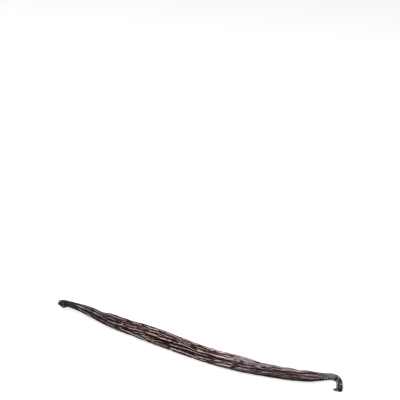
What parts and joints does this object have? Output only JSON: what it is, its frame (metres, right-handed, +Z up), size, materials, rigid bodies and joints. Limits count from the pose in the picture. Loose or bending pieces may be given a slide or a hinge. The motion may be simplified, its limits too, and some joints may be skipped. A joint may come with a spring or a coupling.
{
  "type": "vanilla pod",
  "caption": "Long thin cured vanilla pod lying flat, folded lengthwise, with a flared blossom end and a stalk end bent into a hook.",
  "frame": {"origin": "middle of the pod's bounding box, on the surface that the pod lies on", "axes": "+X along the pod towards the hooked stalk end, +Z up, and the hook points towards -Y"},
  "size_m": [0.1608, 0.0202, 0.0071],
  "materials": {
    "pod_skin": "oily satin, dark brown to near black, wrinkled lengthwise"
  },
  "bodies": {
    "root": {"pod": "pod_skin"}
  },
  "joints": []
}
